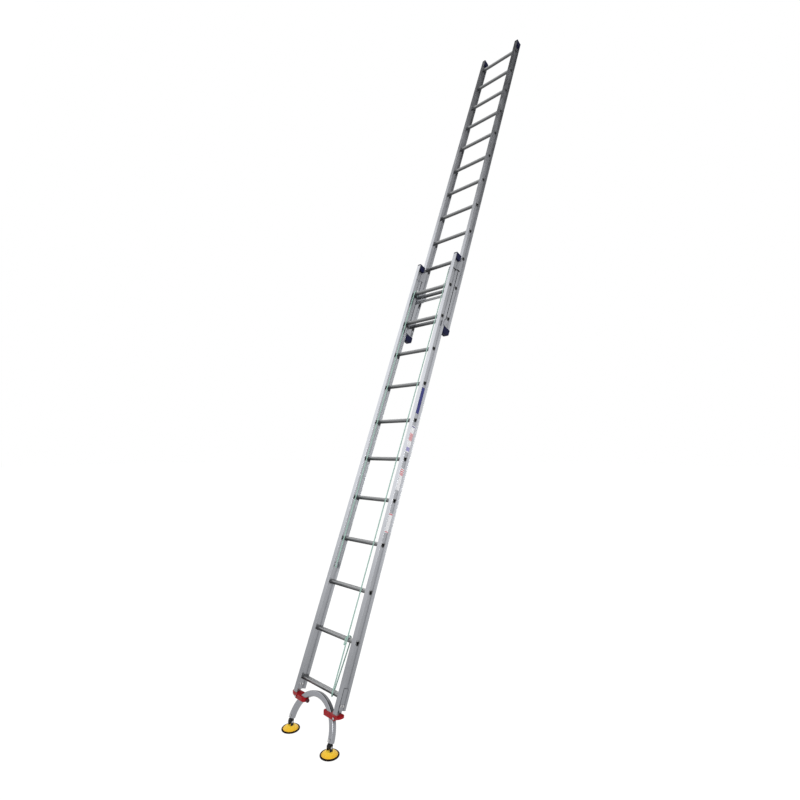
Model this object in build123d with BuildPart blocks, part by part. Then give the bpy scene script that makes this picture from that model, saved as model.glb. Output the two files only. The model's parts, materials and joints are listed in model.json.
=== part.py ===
"""Two-section extension ladder, leaning as it is used, on a self-levelling arch with swivel pads.

Every piece is drawn in the ladder's own directions and stands where it is in use: x runs across
the rungs, depth runs from the climber towards the wall, and height runs up along the stiles from
the middle of the lowest rung. The floor is z = 0 and the origin lies midway between the pads.
"""

import os
from math import hypot

from build123d import *

os.makedirs("parts", exist_ok=True)

# Driving dimensions, in millimetres and degrees
LEAN = 21.0
PITCH = 305.0
BASE_RUNGS = 11
FLY_RUNGS = 12
FLY_START = 2760.0
PAD_PIN_HEIGHT = -258.5
PAD_PIN_ABOVE_FLOOR = 47.0

# Stiles: a dog-bone section with a recess on each side and a hollow in each flange
STILE_X = 202.0
STILE_HALF = 33.5
FLANGE = 35.0
WEB = 3.0
WEB_FLOOR = 19.0
FLANGE_EDGE = 4.0
WALL = 2.2
CORNER = 1.4
FLY_DEPTH = 74.5
BASE_LOW = -100.0
FOOT_LEVEL = 216.0
BASE_HIGH = 3348.0
FLY_LOW = 2622.0
FLY_HIGH = 6235.0

# Rungs: three rounded corners with a flat tread on top, level when the ladder leans
TREAD_TILT = 15.0
RUNG_SHIFT = 1.8
RUNG_CORNERS = (((-11.5, 7.0), 5.0), ((11.5, 7.0), 5.0), ((0.0, -8.0), 7.0))
RUNG_WALL = 2.0
RUNG_SLACK = 0.15
BEAD = 2.2
BEAD_LONG = 2.5

# Guides, caps and boots at the sections' ends
GUIDE_THICK = 3.0
GUIDE_FRONT = 18.0
GUIDE_CLEAR = 0.6
GUIDE_LIP_IN = 14.5
GUIDE_LIP_BEYOND = 9.0
SKIN = 0.1
RUN_CLEAR = 0.05
BASE_GUIDE = (3208.0, 3298.0)
FLY_GUIDE = (2668.0, 2718.0)
BASE_RIVETS = (3234.0, 3274.0)
FLY_RIVETS = (2682.0, 2704.0)
RIVET_R = 3.0
RIVET_HEAD_R = 5.5
RIVET_HEAD = 2.0
CAP_FILL = 47.0
CAP_PLATE = 11.0
CAP_PROUD = 1.5
CAP_CORNER = 6.0
CAP_ROUND = 5.0
BOOT_LOW = 2606.0
BOOT_TALL = 58.0
BOOT_WALL = 3.0
BOOT_FRONT = 2.2
BOOT_ROUND = 22.0

# Hoist pulley inside the right base stile
PULLEY_X = 169.0
PULLEY_HEIGHT = 3190.0
ROPE_R = 4.5
SHEAVE_LINE_R = 24.0
SHEAVE_R = 25.5
GROOVE_SLACK = 0.8
SHEAVE_HALF = 6.5
SHEAVE_PIN_R = 6.0
BRACKET_T = 3.0
BRACKET_HALF = 17.0
BRACKET = (3150.0, 3232.0)
TAB_HALF = 12.0
TAB = (3152.0, 3200.0)
PIN_HEAD = 1.8

# Rung locks on the fly
LOCK_OUTLINE = ((41, 3022), (52, 2988), (74, 2988), (98, 3040), (98, 3083), (60, 3108), (41, 3098))
LOCK_ROUND = 6.0
LOCK_PIVOT = (46.0, 3082.0)
LOCK_PIN_R = 5.0
LOCK_BAR = (62.0, 3002.0)
LOCK_BAR_R = 11.0
LOCK_PLATE = 3.0
LOCK_INNER_X = 134.5
PAWL_X = (140.0, 152.0)
PAWL_HUB_R = 10.0
PAWL_INTO_HUB = 6.0
PAWL_TOE = 15.0
PAWL_THICK = 9.0
PAWL_LIFT = 0.3

# Levelling arch; its clamps are level, so their outline is given in heights above the floor
ARCH_R = 198.0
ARCH_HEIGHT = -245.0
ARCH_FOOT = -238.0
ARCH_TUBE = 33.0
ARCH_WALL = 3.0
ARCH_CORNER = 6.0
ARCH_SLIDE = 0.4
CLAMP_HEIGHT = -104.0
CLAMP_BELLY = (162.0, 0.0, 27.2)
CLAMP_HEEL = (222.0, 0.0, 24.5)
LEFT_NOSE = (132.0, 0.0, 28.0)
RIGHT_NOSE = (107.0, -11.0, 18.0)
NOSE_MARGIN = 4.0
NOSE_LEVELS = (178.0, 203.0)
CLAMP_OUTLINE = ((190, 206), (250, 210), (250, 199), (222, 191), (194, 175))
CLAMP_CORNER = 4.0
CLAMP_LEVELS = (174.0, 208.0)
CLAMP_WIDE = 58.0
CLAMP_ROUND = 11.0
PINCH_X = 194.0
PINCH_LEVEL = 191.0
PINCH_HALF = 26.5
PLATE_X = (206.3, 211.3)
PLATE_HALF = 17.5
PLATE_LOW = -68.0
PLATE_TOP = 50.0
SPACER_TALL = 46.0
LUG_HALF = 12.0
LUG_LOW = -104.0
LUG_PIN_R = 2.0
LUG_PIN_HEIGHT = -97.0
LUG_PIN_HALF = 16.0
PLATE_BOLTS = ((-11.5, -42.0), (8.5, -42.0))
KNOB_HEIGHT = -110.0
KNOB_TIP_X = -113.0
KNOB_FACE_X = -103.5
KNOB_STEM_R = 5.0
KNOB_NECK = 2.0
KNOB_NECK_R = 8.0
KNOB_R = 11.5
KNOB_LONG = 12.0
KNOB_ROUND = 4.0

# Knuckles and pads
KNUCKLE_PIVOT = -226.0
KNUCKLE_HALF = 12.0
KNUCKLE_TOP = -245.0
TONGUE_R = 7.0
EAR_GAP = 0.4
EAR_THICK = 3.6
EAR_R = 10.0
PAD_R = 49.5
DOME_TOP = 24.0
DOME_FLAT = 20.0
DOME_SHOULDER = (37.0, 16.8)
DOME_RIM = 7.0
SOLE_R = 57.5
SOLE_THICK = 5.0
SOLE_BEVEL = 1.0
SOLE_LIP = 0.5
BOLT_R = 4.0
BOLT_HEX = 7.0
BOLT_HEAD = 4.0

# Ropes, and the eye that holds the tie line's lower end
FRONT = -24.0
BEHIND = 24.0
UNDER = -20.5
RUNG_TURN = 20.0
OVER_RUNG = ((24.0, 9.0, 22.0), (13.0, 25.5, 11.5), (-20.0, 16.5, 15.0), (-25.5, 2.0, 20.0))
HOIST_FOOT_X = 127.8
HITCH_FOOT_X = 88.0
HITCH_X = 118.0
HITCH_END = (-23.0, 278.0)
LIFT_BEND = (3130.0, 500.0)
LIFT_END = (52.0, 2784.0)
LIFT_KNOT_R = 10.0
SLING_DEPTH = 75.1
SLING_R = 24.8
TIE_X = -168.0
TIE_TOP = (23.0, 3044.0)
TIE_TOP_KNOT_R = 8.0
TIE_END = (-23.0, 711.0)
KNOT_R = 9.0
EYE_HEIGHT = 725.0
EYE_T = 3.0
EYE_R = 9.0
EYE_SLACK = 0.5
EYE_BACK = -8.0
EYE_TAB_FRONT = -18.0
EYE_PLATE_TALL = 36.0
EYE_TAB_TALL = 28.0

# Lengths that follow from the ones above
INNER_FACE = STILE_X - FLANGE / 2
WEB_FACE = STILE_X - WEB / 2
SLOPE = (STILE_HALF - FLANGE_EDGE - WEB_FLOOR) / ((FLANGE - WEB) / 2)
CHEEK_X = PULLEY_X - SHEAVE_HALF - 2 * BRACKET_T
SHEAVE_TOP = PULLEY_HEIGHT + SHEAVE_LINE_R
SHEAVE_TURN = SHEAVE_LINE_R - RUN_CLEAR
BASE_TOP_RUNG = PITCH * (BASE_RUNGS - 1)
LOCK_RUNG = FLY_START + PITCH
LOCK_OUTER_X = INNER_FACE - SKIN - LOCK_PLATE
LUG_X = (PLATE_X[1] + STILE_X + WEB / 2) / 2
LUG_THICK = PLATE_X[1] - STILE_X - WEB / 2
PIN_TIP = KNUCKLE_HALF + EAR_GAP + EAR_THICK
SIDES = ((-1, "left"), (1, "right"))

# The ladder's own plane, placed so that the pad pins stand over the origin's X axis
UPRIGHT = Plane.XY.rotated((-LEAN, 0, 0))
PIN_DROP = UPRIGHT.from_local_coords((0, 0, PAD_PIN_HEIGHT))
LADDER = Plane(
    origin=(0, -PIN_DROP.Y, PAD_PIN_ABOVE_FLOOR - PIN_DROP.Z), x_dir=(1, 0, 0), z_dir=UPRIGHT.z_dir
)


def at(x, depth, height):
    """A point given in the ladder's own directions."""
    return LADDER.from_local_coords((x, depth, height))


def across(height):
    """The plane square to the stiles: its x is across, its y is depth."""
    return LADDER.offset(height)


def sideways(x, depth=0.0, height=0.0):
    """The plane square to the rungs: its x is depth, its y is height."""
    return Plane(origin=at(x, depth, height), x_dir=LADDER.y_dir, z_dir=LADDER.x_dir)


def facing(depth, x=0.0, height=0.0):
    """The plane along the ladder's front: its x is across, its y is height."""
    return Plane(origin=at(x, depth, height), x_dir=LADDER.x_dir, z_dir=-LADDER.y_dir)


def upright_front(x, y, level):
    """An upright plane: its x is across, its y is the height above the floor."""
    return Plane(origin=(x, y, level), x_dir=(1, 0, 0), z_dir=(0, -1, 0))


def upright_side(x, y, level):
    """An upright plane: its x runs towards the wall, its y is the height above the floor."""
    return Plane(origin=(x, y, level), x_dir=(0, 1, 0), z_dir=(1, 0, 0))


def rung_plane(x, depth, height):
    """The plane of a rung's section, turned so that the tread comes level in use."""
    return sideways(x, depth + RUNG_SHIFT, height).rotated((TREAD_TILT, 0, 0))


def keep(builder, name):
    """Label a finished piece and write it."""
    builder.part.label = name
    export_step(builder.part, f"parts/{name}.step")


def rung_outline(extra):
    """Draw a rung's section, grown by extra on every side."""
    with BuildLine() as corners:
        for centre, radius in RUNG_CORNERS:
            CenterArc(centre, radius + extra, 0, 360)
    make_hull(corners.edges())


def stile_points():
    """The corners of the dog-bone section, once round."""
    edge = STILE_HALF - FLANGE_EDGE
    quarter = [(WEB / 2, WEB_FLOOR), (FLANGE / 2, edge), (FLANGE / 2, STILE_HALF)]
    back = quarter + [(-x, y) for x, y in reversed(quarter)]
    return back + [(-x, -y) for x, y in back]


def hollow_points(turn):
    """The corners of the hollow in one flange."""
    reach = FLANGE / 2 - FLANGE_EDGE
    apex = WEB_FLOOR + WALL
    shoulder = apex + reach * SLOPE
    inside = STILE_HALF - WALL
    points = [(0, apex), (reach, shoulder), (reach, inside), (-reach, inside), (-reach, shoulder)]
    return [(x, turn * y) for x, y in points]


def recess_points(hand):
    """The corners of the recess on one side of a stile, a skin smaller than the recess."""
    near = hand * (WEB / 2 + SKIN)
    out = hand * FLANGE / 2
    floor = WEB_FLOOR - SKIN
    edge = STILE_HALF - FLANGE_EDGE - SKIN
    return [(near, -floor), (out, -edge), (out, edge), (near, floor)]


def guide_points(hand, turn):
    """The corners of a guide: it lies in its stile's recess and hooks the other section's flange."""
    near = WEB / 2 + SKIN
    out = FLANGE / 2 + GUIDE_CLEAR
    bend = WEB_FLOOR - SKIN
    outer_bend = bend + GUIDE_THICK * (SLOPE - hypot(1, SLOPE))
    climb = (out - near) * SLOPE
    lip = FLY_DEPTH - STILE_HALF + GUIDE_LIP_BEYOND
    points = [
        (near, -GUIDE_FRONT),
        (near, bend),
        (out, bend + climb),
        (out, lip),
        (GUIDE_LIP_IN, lip),
        (GUIDE_LIP_IN, lip + GUIDE_THICK),
        (out + GUIDE_THICK, lip + GUIDE_THICK),
        (out + GUIDE_THICK, outer_bend + climb),
        (near + GUIDE_THICK, outer_bend),
        (near + GUIDE_THICK, -GUIDE_FRONT),
    ]
    return [(hand * x, turn * y) for x, y in points]


def drill(x_from, x_to, depth, height, radius):
    """Cut a round hole along the rungs' direction."""
    with BuildSketch(sideways(x_from, depth, height)) as circle:
        Circle(radius)
    extrude(circle.sketch, amount=x_to - x_from, mode=Mode.SUBTRACT)


def rod(x_from, x_to, depth, height, radius):
    """Add a round bar along the rungs' direction."""
    with BuildSketch(sideways(x_from, depth, height)) as circle:
        Circle(radius)
    extrude(circle.sketch, amount=x_to - x_from)


def pin(start, end, depth, height, radius):
    """Add a pin along the rungs' direction, with a wider head just outside its start."""
    inwards = 1 if end > start else -1
    head = start - inwards * PIN_HEAD
    rod(head, end, depth, height, radius)
    rod(head, start - inwards * SKIN, depth, height, radius + PIN_HEAD)


def bolt(plane, half_grip):
    """Add a bolt along a plane's normal, with a round head in front and a nut behind."""
    with BuildSketch(plane.offset(-half_grip - SKIN)) as shaft:
        Circle(BOLT_R)
    extrude(shaft.sketch, amount=2 * half_grip + 2 * SKIN)
    with BuildSketch(plane.offset(half_grip + SKIN)) as head:
        Circle(BOLT_HEX)
    extrude(head.sketch, amount=BOLT_HEAD)
    with BuildSketch(plane.offset(-half_grip - SKIN)) as nut:
        RegularPolygon(BOLT_HEX, 6)
    extrude(nut.sketch, amount=-BOLT_HEAD)


def block(x, depth, height):
    """Add a box between the given limits across, in depth and in height."""
    with BuildSketch(across(height[0])) as outline:
        with Locations(((x[0] + x[1]) / 2, (depth[0] + depth[1]) / 2)):
            Rectangle(abs(x[1] - x[0]), abs(depth[1] - depth[0]))
    extrude(outline.sketch, amount=height[1] - height[0])


def make_stile(word, depth, low, high, rung_heights, holes):
    """Both stiles of a section, with their hollows, the rungs' openings and round holes in the web."""
    with BuildPart() as stile:
        with BuildSketch(across(low)) as section:
            with Locations((0, depth)):
                Polygon(*stile_points(), align=None)
            fillet(section.vertices().filter_by(lambda corner: abs(corner.X) > WEB), CORNER)
            with Locations((0, depth)):
                Polygon(*hollow_points(1), align=None, mode=Mode.SUBTRACT)
                Polygon(*hollow_points(-1), align=None, mode=Mode.SUBTRACT)
        extrude(amount=high - low)
        for height in rung_heights:
            with BuildSketch(rung_plane(0, depth, height)):
                rung_outline(RUNG_SLACK)
        with BuildSketch(sideways(0)):
            for hole_depth, height, radius in holes:
                with Locations((hole_depth, height)):
                    Circle(radius + RUN_CLEAR)
        extrude(amount=WEB, both=True, mode=Mode.SUBTRACT)
        split(bisect_by=Plane.XY.offset(FOOT_LEVEL), keep=Keep.TOP)
    for side, hand in SIDES:
        with BuildPart() as placed:
            with Locations((side * STILE_X, 0, 0)):
                add(stile.part)
        keep(placed, f"{word}_stile_{hand}")


def make_rungs(word, depth, heights):
    """The hollow rungs of a section, each swaged on both faces of the stiles' webs."""
    end = STILE_X + WEB / 2 + BEAD_LONG
    bead_middle = (WEB + BEAD_LONG + RUN_CLEAR) / 2
    with BuildPart() as rung:
        with BuildSketch(rung_plane(0, depth, 0)):
            rung_outline(0)
        extrude(amount=end, both=True)
        for web_x in (-STILE_X, STILE_X):
            for offset in (-bead_middle, bead_middle):
                with BuildSketch(rung_plane(web_x + offset, depth, 0)):
                    rung_outline(BEAD)
        extrude(amount=(BEAD_LONG - RUN_CLEAR) / 2, both=True)
        with BuildSketch(rung_plane(0, depth, 0)):
            rung_outline(-RUNG_WALL)
        extrude(amount=end, both=True, mode=Mode.SUBTRACT)
    for number, height in enumerate(heights, 1):
        with BuildPart() as placed:
            with Locations(LADDER.z_dir * height):
                add(rung.part)
        keep(placed, f"{word}_rung_{number:02d}")


def make_guides(name, depth, turn, span, rivet_heights):
    """The four formed plates that hold two sections together, inside and outside each stile."""
    reach = WEB + 2 * GUIDE_THICK
    with BuildPart() as guides:
        with BuildSketch(across(span[0])):
            for side, _ in SIDES:
                with Locations((side * STILE_X, depth)):
                    Polygon(*guide_points(1, turn), align=None)
                    Polygon(*guide_points(-1, turn), align=None)
        extrude(amount=span[1] - span[0])
        for side, _ in SIDES:
            middle = side * STILE_X
            for height in rivet_heights:
                drill(middle - reach, middle + reach, depth, height, RIVET_R + RUN_CLEAR)
    keep(guides, name)


def make_rivets(name, depth, heights):
    """Rivets through a web and the two guides on it, with a head at each end."""
    face = WEB / 2 + SKIN + GUIDE_THICK
    with BuildPart() as rivets:
        for side, _ in SIDES:
            middle = side * STILE_X
            for height in heights:
                rod(middle - face, middle + face, depth, height, RIVET_R)
                rod(middle + face, middle + face + RIVET_HEAD, depth, height, RIVET_HEAD_R)
                rod(middle - face - RIVET_HEAD, middle - face, depth, height, RIVET_HEAD_R)
    keep(rivets, name)


def make_caps(name, depth, high):
    """Plugs in the tops of a section's stiles: they fill the recesses and cover the ends."""
    with BuildPart() as caps:
        with BuildSketch(across(high - CAP_FILL)):
            for side, _ in SIDES:
                with Locations((side * STILE_X, depth)):
                    Polygon(*recess_points(1), align=None)
                    Polygon(*recess_points(-1), align=None)
        extrude(amount=CAP_FILL)
        with BuildSketch(across(high)):
            with Locations((-STILE_X, depth), (STILE_X, depth)):
                RectangleRounded(FLANGE + 2 * CAP_PROUD, 2 * STILE_HALF + 2 * CAP_PROUD, CAP_CORNER)
        extrude(amount=CAP_PLATE)
        tops = caps.faces().sort_by(Axis(at(0, 0, 0), LADDER.z_dir))[-2:]
        fillet(tops.edges(), CAP_ROUND)
    keep(caps, name)


def make_rope(name, route, knots, loop=None):
    """A rope along straight runs and arcs; a route point is x, depth, height and corner radius."""
    points = [at(*stop[:3]) for stop in route]
    radii = [stop[3] for stop in route[1:-1]]
    with BuildPart() as rope:
        with BuildLine() as line:
            FilletPolyline(*points, radius=radii)
        with BuildSketch(Plane(origin=line.line @ 0, z_dir=line.line % 0)) as end:
            Circle(ROPE_R)
        sweep()
        length = line.wire().length
        ratio = rope.part.volume / (end.sketch.area * length)
        print(f"{name}: length {length:.0f}, radii {radii}, volume over section times length {ratio:.4f}")
        for *place, radius in knots:
            with Locations(at(*place)):
                Sphere(radius)
        if loop:
            *place, radius = loop
            with Locations(sideways(*place)):
                Torus(radius, ROPE_R)
    keep(rope, name)


def over_rung(x, height):
    """Rope stops that lead from behind a rung, over its tread and down its front."""
    return [(x, depth, height + above, radius) for depth, above, radius in OVER_RUNG]


# Stiles and rungs of both sections
base_heights = [PITCH * i for i in range(BASE_RUNGS)]
fly_heights = [FLY_START + PITCH * i for i in range(FLY_RUNGS)]
base_holes = [(0, height, RIVET_R) for height in BASE_RIVETS]
base_holes += [(*place, BOLT_R) for place in PLATE_BOLTS]
fly_holes = [(FLY_DEPTH, height, RIVET_R) for height in FLY_RIVETS]
make_stile("base", 0, BASE_LOW, BASE_HIGH, base_heights, base_holes)
make_stile("fly", FLY_DEPTH, FLY_LOW, FLY_HIGH, fly_heights, fly_holes)
make_rungs("base", 0, base_heights)
make_rungs("fly", FLY_DEPTH, fly_heights)

# Guides and rivets: the base's guides hook the fly, the fly's guides hook the base
make_guides("base_guides", 0, 1, BASE_GUIDE, BASE_RIVETS)
make_guides("fly_guides", FLY_DEPTH, -1, FLY_GUIDE, FLY_RIVETS)
make_rivets("base_rivets", 0, BASE_RIVETS)
make_rivets("fly_rivets", FLY_DEPTH, FLY_RIVETS)
make_caps("base_top_caps", 0, BASE_HIGH)
make_caps("fly_top_caps", FLY_DEPTH, FLY_HIGH)

# Boots on the feet of the fly stiles
with BuildPart() as fly_foot_caps:
    boot_depth = 2 * STILE_HALF + BOOT_FRONT + BOOT_WALL
    boot_middle = FLY_DEPTH + (BOOT_WALL - BOOT_FRONT) / 2
    for side, _ in SIDES:
        with BuildSketch(sideways(side * STILE_X, boot_middle, BOOT_LOW + BOOT_TALL / 2)) as profile:
            Rectangle(boot_depth, BOOT_TALL)
            fillet(profile.vertices().sort_by(Axis.Y)[:2], BOOT_ROUND)
    extrude(amount=FLANGE / 2 + BOOT_WALL, both=True)
    fillet(fly_foot_caps.faces().filter_by(Axis.X).edges(), BOOT_FRONT)
    with BuildSketch(across(FLY_LOW)):
        with Locations((-STILE_X, FLY_DEPTH), (STILE_X, FLY_DEPTH)):
            Polygon(*stile_points(), align=None)
    extrude(amount=BOOT_TALL, mode=Mode.SUBTRACT)
keep(fly_foot_caps, "fly_foot_caps")

# Pulley: a clevis on the right base stile, a pin and a grooved sheave
with BuildPart() as pulley_bracket:
    cheek = (-BRACKET_HALF, BRACKET_HALF)
    block((INNER_FACE - BRACKET_T, INNER_FACE - SKIN), (-STILE_HALF, BRACKET_HALF), BRACKET)
    block((CHEEK_X, INNER_FACE - SKIN), cheek, (BRACKET[1] - BRACKET_T, BRACKET[1]))
    block((CHEEK_X, CHEEK_X + BRACKET_T), cheek, (PULLEY_HEIGHT - BRACKET_HALF, BRACKET[1]))
    block((INNER_FACE - SKIN, WEB_FACE - SKIN), (-TAB_HALF, TAB_HALF), TAB)
    drill(CHEEK_X - SKIN, INNER_FACE + SKIN, 0, PULLEY_HEIGHT, SHEAVE_PIN_R + RUN_CLEAR)
keep(pulley_bracket, "pulley_bracket")

with BuildPart() as pulley_pin:
    pin(CHEEK_X, INNER_FACE, 0, PULLEY_HEIGHT, SHEAVE_PIN_R)
keep(pulley_pin, "pulley_pin")

with BuildPart() as pulley_sheave:
    faces = (PULLEY_X - SHEAVE_HALF, PULLEY_X + SHEAVE_HALF)
    rod(*faces, 0, PULLEY_HEIGHT, SHEAVE_R)
    with Locations(sideways(PULLEY_X, 0, PULLEY_HEIGHT)):
        Torus(SHEAVE_LINE_R, ROPE_R + GROOVE_SLACK, mode=Mode.SUBTRACT)
    drill(*faces, 0, PULLEY_HEIGHT, SHEAVE_PIN_R + RUN_CLEAR)
keep(pulley_sheave, "pulley_sheave")

# Rung locks: plates hung on the fly's second rung, a tie bar, pivot pins and the locks themselves
with BuildPart() as lock_brackets:
    for side, _ in SIDES:
        for start in (LOCK_INNER_X, LOCK_OUTER_X):
            with BuildSketch(sideways(side * start)) as outline:
                Polygon(*LOCK_OUTLINE, align=None)
                fillet(outline.vertices(), LOCK_ROUND)
            extrude(amount=side * LOCK_PLATE)
    with BuildSketch(rung_plane(0, FLY_DEPTH, LOCK_RUNG)):
        rung_outline(RUNG_SLACK)
    extrude(amount=STILE_X, both=True, mode=Mode.SUBTRACT)
    drill(-STILE_X, STILE_X, *LOCK_PIVOT, LOCK_PIN_R + RUN_CLEAR)
    drill(-LOCK_OUTER_X, LOCK_OUTER_X, *LOCK_BAR, LOCK_BAR_R + RUN_CLEAR)
keep(lock_brackets, "lock_brackets")

with BuildPart() as lock_tie_bar:
    rod(-LOCK_OUTER_X + SKIN, LOCK_OUTER_X - SKIN, *LOCK_BAR, LOCK_BAR_R)
    drill(-STILE_X, STILE_X, *LOCK_BAR, LOCK_BAR_R - RUNG_WALL)
keep(lock_tie_bar, "lock_tie_bar")

with BuildPart() as lock_pins:
    for side, _ in SIDES:
        pin(side * LOCK_INNER_X, side * (INNER_FACE - SKIN), *LOCK_PIVOT, LOCK_PIN_R)
keep(lock_pins, "lock_pins")

for side, word in SIDES:
    tread = rung_plane(side * PAWL_X[0], 0, BASE_TOP_RUNG)
    under = RUNG_CORNERS[0][0][1] + RUNG_CORNERS[0][1] + PAWL_LIFT
    pivot = tread.to_local_coords(at(side * PAWL_X[0], *LOCK_PIVOT))
    heel = pivot.X + PAWL_INTO_HUB
    with BuildPart() as pawl:
        with BuildSketch(tread):
            with Locations((pivot.X, pivot.Y)):
                Circle(PAWL_HUB_R)
            with Locations(((heel - PAWL_TOE) / 2, under + PAWL_THICK / 2)):
                Rectangle(heel + PAWL_TOE, PAWL_THICK)
        extrude(amount=side * (PAWL_X[1] - PAWL_X[0]))
        drill(side * LOCK_INNER_X, side * INNER_FACE, *LOCK_PIVOT, LOCK_PIN_R + RUN_CLEAR)
    keep(pawl, f"rung_lock_{word}")

# Levelling arch: a square tube bent to a half circle, its ends cut square to the stiles
ARCH_AXIS = Axis(at(0, 0, ARCH_HEIGHT), -LADDER.y_dir)
with BuildPart() as level_arch:
    arch_hollow = ARCH_TUBE - 2 * ARCH_WALL
    with BuildSketch(across(ARCH_HEIGHT)):
        with Locations((ARCH_R, 0)):
            RectangleRounded(ARCH_TUBE, ARCH_TUBE, ARCH_CORNER)
            RectangleRounded(arch_hollow, arch_hollow, ARCH_CORNER - ARCH_WALL, mode=Mode.SUBTRACT)
    revolve(axis=ARCH_AXIS, revolution_arc=180)
    split(bisect_by=across(ARCH_FOOT), keep=Keep.TOP)
    with BuildSketch(facing(0)):
        with Locations((-ARCH_R, KNUCKLE_PIVOT), (ARCH_R, KNUCKLE_PIVOT)):
            Circle(BOLT_R + RUN_CLEAR)
    extrude(amount=ARCH_TUBE, both=True, mode=Mode.SUBTRACT)
keep(level_arch, "level_arch")

# Clamps: level wedge-shaped castings that hold the arch, hung on the plates' lugs
CLAMP_Y = at(0, 0, CLAMP_HEIGHT).Y


def make_clamp(nose):
    """The right-hand clamp; its round nose is given as a place across, an offset and a radius."""
    clamp_tall = CLAMP_LEVELS[1] - CLAMP_LEVELS[0]
    tip = nose[0] - nose[2] - NOSE_MARGIN
    with BuildPart() as clamp:
        with BuildSketch(Plane.XY.offset(CLAMP_LEVELS[0])):
            with BuildLine() as ends:
                for x, offset, radius in (nose, CLAMP_BELLY, CLAMP_HEEL):
                    CenterArc((x, CLAMP_Y + offset), radius, 0, 360)
            make_hull(ends.edges())
        extrude(amount=clamp_tall)
        with BuildSketch(upright_front(0, CLAMP_Y, 0)) as outline:
            Polygon((tip, NOSE_LEVELS[0]), (tip, NOSE_LEVELS[1]), *CLAMP_OUTLINE, align=None)
            fillet(outline.vertices(), CLAMP_CORNER)
        extrude(amount=CLAMP_WIDE, both=True, mode=Mode.INTERSECT)
        with BuildSketch(upright_side(0, CLAMP_Y, CLAMP_LEVELS[0] + clamp_tall / 2)):
            RectangleRounded(CLAMP_WIDE, clamp_tall, CLAMP_ROUND)
        extrude(amount=2 * STILE_X, mode=Mode.INTERSECT)
    return clamp.part


left_clamp = make_clamp(LEFT_NOSE)
right_clamp = make_clamp(RIGHT_NOSE)
with BuildPart() as leveller_clamps:
    add(right_clamp)
    mirror(left_clamp, about=Plane.YZ)
    with BuildSketch(across(ARCH_HEIGHT)):
        with Locations((ARCH_R, 0)):
            Rectangle(ARCH_TUBE + 2 * ARCH_SLIDE, ARCH_TUBE + 2 * ARCH_SLIDE)
    revolve(axis=ARCH_AXIS, revolution_arc=180, mode=Mode.SUBTRACT)
    with BuildSketch(across(LUG_LOW - SKIN)):
        with Locations((-LUG_X, 0), (LUG_X, 0)):
            Rectangle(LUG_THICK + 2 * SKIN, 2 * LUG_HALF + 2 * SKIN)
    extrude(amount=PLATE_LOW - LUG_LOW, mode=Mode.SUBTRACT)
    with BuildSketch(facing(0)):
        with Locations((-LUG_X, LUG_PIN_HEIGHT), (LUG_X, LUG_PIN_HEIGHT)):
            Circle(LUG_PIN_R + RUN_CLEAR)
    extrude(amount=LUG_PIN_HALF, both=True, mode=Mode.SUBTRACT)
    with BuildSketch(upright_front(0, CLAMP_Y, PINCH_LEVEL)):
        with Locations((-PINCH_X, 0), (PINCH_X, 0)):
            Circle(BOLT_R + RUN_CLEAR)
    extrude(amount=CLAMP_WIDE, both=True, mode=Mode.SUBTRACT)
    drill(KNOB_TIP_X - SKIN, KNOB_FACE_X, 0, KNOB_HEIGHT, KNOB_STEM_R + RUN_CLEAR)
keep(leveller_clamps, "leveller_clamps")

with BuildPart() as lock_knob:
    grip_x = KNOB_FACE_X + KNOB_NECK
    rod(KNOB_TIP_X, KNOB_FACE_X, 0, KNOB_HEIGHT, KNOB_STEM_R)
    rod(KNOB_FACE_X, grip_x, 0, KNOB_HEIGHT, KNOB_NECK_R)
    rod(grip_x, grip_x + KNOB_LONG, 0, KNOB_HEIGHT, KNOB_R)
    fillet(lock_knob.faces().sort_by(Axis.X)[-1].edges(), KNOB_ROUND)
keep(lock_knob, "lock_knob")

# Plates in the outer recess at the stiles' feet, each with a lug that goes down into its clamp
with BuildPart() as leveller_plates:
    for side, _ in SIDES:
        near = side * (STILE_X + WEB / 2 + SKIN)
        far = side * PLATE_X[1]
        block((side * PLATE_X[0], far), (-PLATE_HALF, PLATE_HALF), (PLATE_LOW, PLATE_TOP))
        block((near, far), (-PLATE_HALF, PLATE_HALF), (PLATE_LOW, PLATE_LOW + SPACER_TALL))
        block((near, far), (-LUG_HALF, LUG_HALF), (LUG_LOW, PLATE_LOW))
        for depth, height in PLATE_BOLTS:
            drill(near, far, depth, height, BOLT_R + RUN_CLEAR)
    with BuildSketch(facing(0)):
        with Locations((-LUG_X, LUG_PIN_HEIGHT), (LUG_X, LUG_PIN_HEIGHT)):
            Circle(LUG_PIN_R + RUN_CLEAR)
    extrude(amount=LUG_PIN_HALF, both=True, mode=Mode.SUBTRACT)
keep(leveller_plates, "leveller_plates")

# Fasteners of the leveller: plate bolts, pinch bolts through the clamps and lug pins
with BuildPart() as leveller_bolts:
    for side, _ in SIDES:
        for depth, height in PLATE_BOLTS:
            middle = at(side * (PLATE_X[1] + WEB_FACE) / 2, depth, height)
            outwards = Plane(origin=middle, x_dir=LADDER.y_dir, z_dir=(side, 0, 0))
            bolt(outwards, (PLATE_X[1] - WEB_FACE) / 2)
        bolt(upright_front(side * PINCH_X, CLAMP_Y, PINCH_LEVEL), PINCH_HALF)
        with BuildSketch(facing(LUG_PIN_HALF, side * LUG_X, LUG_PIN_HEIGHT)):
            Circle(LUG_PIN_R)
        extrude(amount=2 * LUG_PIN_HALF)
keep(leveller_bolts, "leveller_bolts")

# Swivel feet: a knuckle pinned in each end of the arch, and a domed pad pinned to the knuckle
with BuildPart() as knuckle_bolts:
    for side, _ in SIDES:
        bolt(facing(0, side * ARCH_R, KNUCKLE_PIVOT), ARCH_TUBE / 2)
keep(knuckle_bolts, "knuckle_bolts")

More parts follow.
